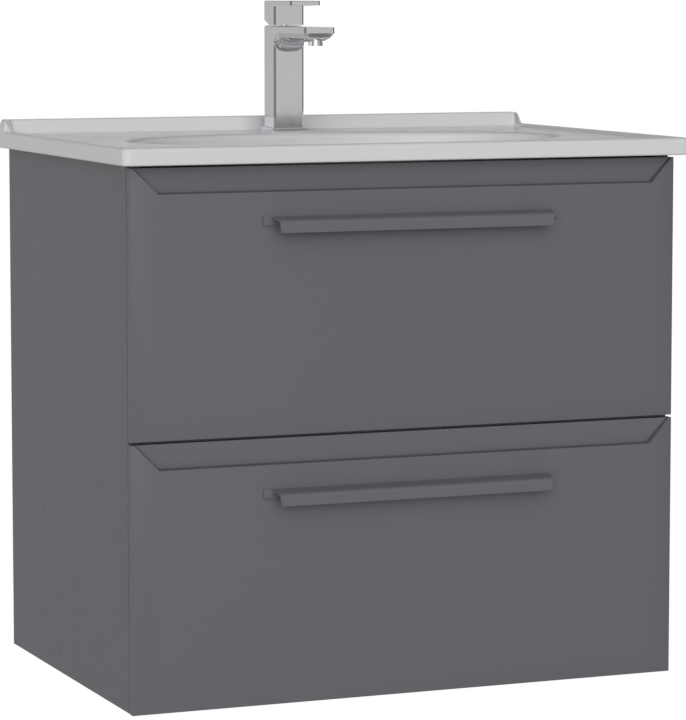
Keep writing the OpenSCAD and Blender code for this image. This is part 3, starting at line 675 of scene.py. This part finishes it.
def carcass():
    """Lacquered boards with slightly rounded edges."""
    for name in ("side_left", "side_right", "bottom_panel", "rail_front", "rail_middle",
                 "rail_rear_top", "rail_rear_bottom"):
        softened(name, 0.7 * MM, 3)


def groove_tool(low, high):
    """The fine groove round a front's sunk strip, for combine()."""
    strip_in, strip_h, strip_d, bevel = 3 * MM, 27 * MM, 8.5 * MM, 29 * MM
    wide, deep, over = 1.2 * MM, 1.5 * MM, 1 * MM
    along_mitre, at_foot = 1.3 * wide, 0.6 * wide
    foot, floor_y = high.z - strip_h, low.y + strip_d
    lean = (bevel - strip_in) / strip_h
    ends = [(high.x - strip_in + lean * over, high.z + over), (high.x - bevel, foot)]
    inner = [(ends[0][0] - along_mitre, high.z + over), (high.x - bevel - at_foot, foot + wide)]
    chain = ends + [(-x, z) for x, z in reversed(ends)]
    chain += [(-x, z) for x, z in inner] + list(reversed(inner))
    rings = [[(x, y, z) for x, z in chain] for y in (floor_y - 0.3 * MM, floor_y + deep)]
    return finish_piece("tool", rings_mesh(rings, False), [])


def fronts():
    """Milled fronts: crisp mitres, softer rear edges, a fine groove round the sunk strip."""
    rear_r, front_r, least, board_sharp = 1.3 * MM, 0.7 * MM, 20 * MM, 31.0
    well_forward = 2 * MM
    for name in ("upper_front", "lower_front"):
        low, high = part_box(name)
        bm = cad_mesh(name)
        round_edges(bm, rear_r, 3, lambda e: e.calc_length() > least
                    and all(v.co.y > high.y - HAIR for v in e.verts))
        round_edges(bm, front_r, 3, lambda e: e.calc_length() > least
                    and all(v.co.y < high.y - well_forward for v in e.verts))
        obj = finish_piece(name + "_board", bm, [name], board_sharp)
        combine(obj, groove_tool(low, high), "DIFFERENCE")
        crease(obj, board_sharp)


def drawer_boxes():
    """The boards of both drawers, and the wall round the upper drawer's notch."""
    for level in ("upper", "lower"):
        for part in ("side_left", "side_right", "back", "bottom"):
            softened(f"{level}_{part}", 0.5 * MM, 2)
    softened("upper_notch_wall", 0.5 * MM, 2)


def metalwork():
    """Runners, hanging and fasteners."""
    for level in ("upper", "lower"):
        for rail in ("outer", "middle", "inner"):
            for side in ("left", "right"):
                softened(f"{level}_runner_{rail}_{side}", 0.35 * MM, 2)
        softened(f"{level}_handle_screws", 0.2 * MM, 1)
    for side in ("left", "right"):
        softened(f"hanger_{side}", 0.6 * MM, 2)
        softened(f"wall_plate_{side}", 0.4 * MM, 2)
    for name in ("cam_fittings", "runner_screws", "tap_clamp", "tap_nut", "tap_stud"):
        softened(name, 0.15 * MM, 1)


def waste_and_trap():
    """Turned and moulded pieces of the waste, the trap, the tap and the wall buffers.

    Each has the width of its edges in mm.
    """
    for name, width in (("waste_flange", 0.4), ("waste_plug", 0.4), ("waste_nut", 0.5),
                        ("waste_washer", 0.4), ("trap_head", 0.8), ("trap_cup", 0.6),
                        ("trap_nuts", 0.5), ("trap_outlet_pipe", 0.4), ("wall_buffers", 0.5),
                        ("tap_base_plate", 0.5), ("tap_cartridge", 0.3), ("tap_spindle", 0.2),
                        ("tap_aerator", 0.3)):
        softened(name, width * MM, 2)


# ---------- stage, light and camera ----------

def floor():
    """A pale disc that fades out before its edge."""
    low, high = cad_box
    radius, below = 1.6, 0.70
    fade_from, fade_to = radius * 0.55, radius * 0.97
    bm = bmesh.new()
    bmesh.ops.create_circle(bm, cap_ends=True, radius=radius, segments=96)
    mesh = bpy.data.meshes.new("floor")
    bm.to_mesh(mesh)
    bm.free()
    obj = bpy.data.objects.new("floor", mesh)
    obj.location = ((low.x + high.x) / 2, (low.y + high.y) / 2, low.z - below)
    bpy.context.scene.collection.objects.link(obj)
    mat = new_material("floor", (0.86, 0.86, 0.86), 0.9)
    where = node(mat, "ShaderNodeTexCoord").outputs["Object"]
    reach = node(mat, "ShaderNodeVectorMath", {0: where}, operation="LENGTH").outputs["Value"]
    feed(mat, "Alpha", spread(mat, reach, 1.0, 0.0, fade_from, fade_to))
    mesh.materials.append(mat)


# Brightness of the studio from straight below (0) over the horizon (0.5) to straight above (1).
HEIGHT_STOPS = [(0.0, 0.36), (0.41, 0.50), (0.5, 0.70), (0.64, 0.34), (0.8, 0.14), (1.0, 0.10)]

# How the brightness changes across the studio: axis, change per unit along it, value in the middle.
LEANS = (("X", -0.56, 1.0), ("Y", -0.070, 0.870))

# Places in the studio that are darker or brighter than the rest: direction, factor, and the cosines
# of the angle from that direction where the change begins and where it is whole.
LOBES = (
    ((-0.925, -0.379, 0.0), 0.25, 0.965, 0.985),  # the dark lines at the tap's left front corners
    ((0.925, 0.379, 0.0), 0.25, 0.965, 0.985),    # the dark lines at its right front corners
    ((0.379, 0.922, 0.08), 1.7, 0.93, 0.985),     # the gleam on the basin's deck
    ((-0.379, 0.922, -0.08), 0.85, 0.93, 0.99),   # the tone of the tap's left faces
    ((0.379, -0.922, -0.08), 1.2, 0.93, 0.99),    # the tone of the tap's front faces
    ((-0.20, -0.745, 0.636), 8.0, 0.70, 0.95),    # the large soft light
)


def studio():
    """White backdrop; soft walls all round and one large soft light high in front."""
    world = bpy.data.worlds.new("studio")
    bpy.context.scene.world = world
    world.use_nodes = True
    sky = world.node_tree.nodes["Background"]
    out = world.node_tree.nodes["World Output"]
    where = node(world, "ShaderNodeTexCoord").outputs["Generated"]
    axes = node(world, "ShaderNodeSeparateXYZ", {"Vector": where}).outputs
    ramp = node(world, "ShaderNodeValToRGB", {"Fac": spread(world, axes["Z"], 0, 1, -1, 1)})
    ramp.color_ramp.interpolation = "B_SPLINE"
    elements = ramp.color_ramp.elements
    while len(elements) < len(HEIGHT_STOPS):
        elements.new(0.5)
    for element, (position, value) in zip(elements, HEIGHT_STOPS):
        element.position, element.color = position, (value, value, value, 1.0)
    level = ramp.outputs["Color"]
    factors = []
    for axis, change, middle in LEANS:
        lean = node(world, "ShaderNodeMath", {0: axes[axis], 1: change, 2: middle},
                    operation="MULTIPLY_ADD")
        factors.append(lean.outputs[0])
    for direction, factor, begins, whole in LOBES:
        near = node(world, "ShaderNodeVectorMath", {0: where, 1: direction}, operation="DOT_PRODUCT")
        factors.append(spread(world, near.outputs["Value"], 1.0, factor, begins, whole))
    for factor in factors:
        level = node(world, "ShaderNodeMath", {0: level, 1: factor}, operation="MULTIPLY").outputs[0]
    world.node_tree.links.new(level, sky.inputs["Color"])
    white = node(world, "ShaderNodeBackground", {"Color": (1, 1, 1, 1), "Strength": 1.0})
    seen = node(world, "ShaderNodeLightPath").outputs["Is Camera Ray"]
    both = node(world, "ShaderNodeMixShader", {0: seen, 1: sky.outputs[0], 2: white.outputs[0]})
    world.node_tree.links.new(both.outputs[0], out.inputs["Surface"])
    bpy.context.scene.view_settings.view_transform = "Standard"


def camera():
    """Low on the left of the front, a long lens looking slightly down."""
    data = bpy.data.cameras.new("camera")
    obj = bpy.data.objects.new("camera", data)
    bpy.context.scene.collection.objects.link(obj)
    turned, down = 22.274, 5.666
    obj.location = (-1.4466, -3.7784, 0.2616)
    obj.rotation_euler = (math.radians(90 - down), 0.0, math.radians(-turned))
    data.sensor_width = 36.0
    data.lens = 171.06
    data.shift_x, data.shift_y = 0.0008, -0.05
    data.clip_start, data.clip_end = 0.05, 100.0
    bpy.context.scene.camera = obj


carcass()
fronts()
drawer_boxes()
metalwork()
waste_and_trap()
basin()
for which in ("upper_handle", "lower_handle"):
    handle(which)
tap_body()
tap_lever()
floor()
studio()
camera()
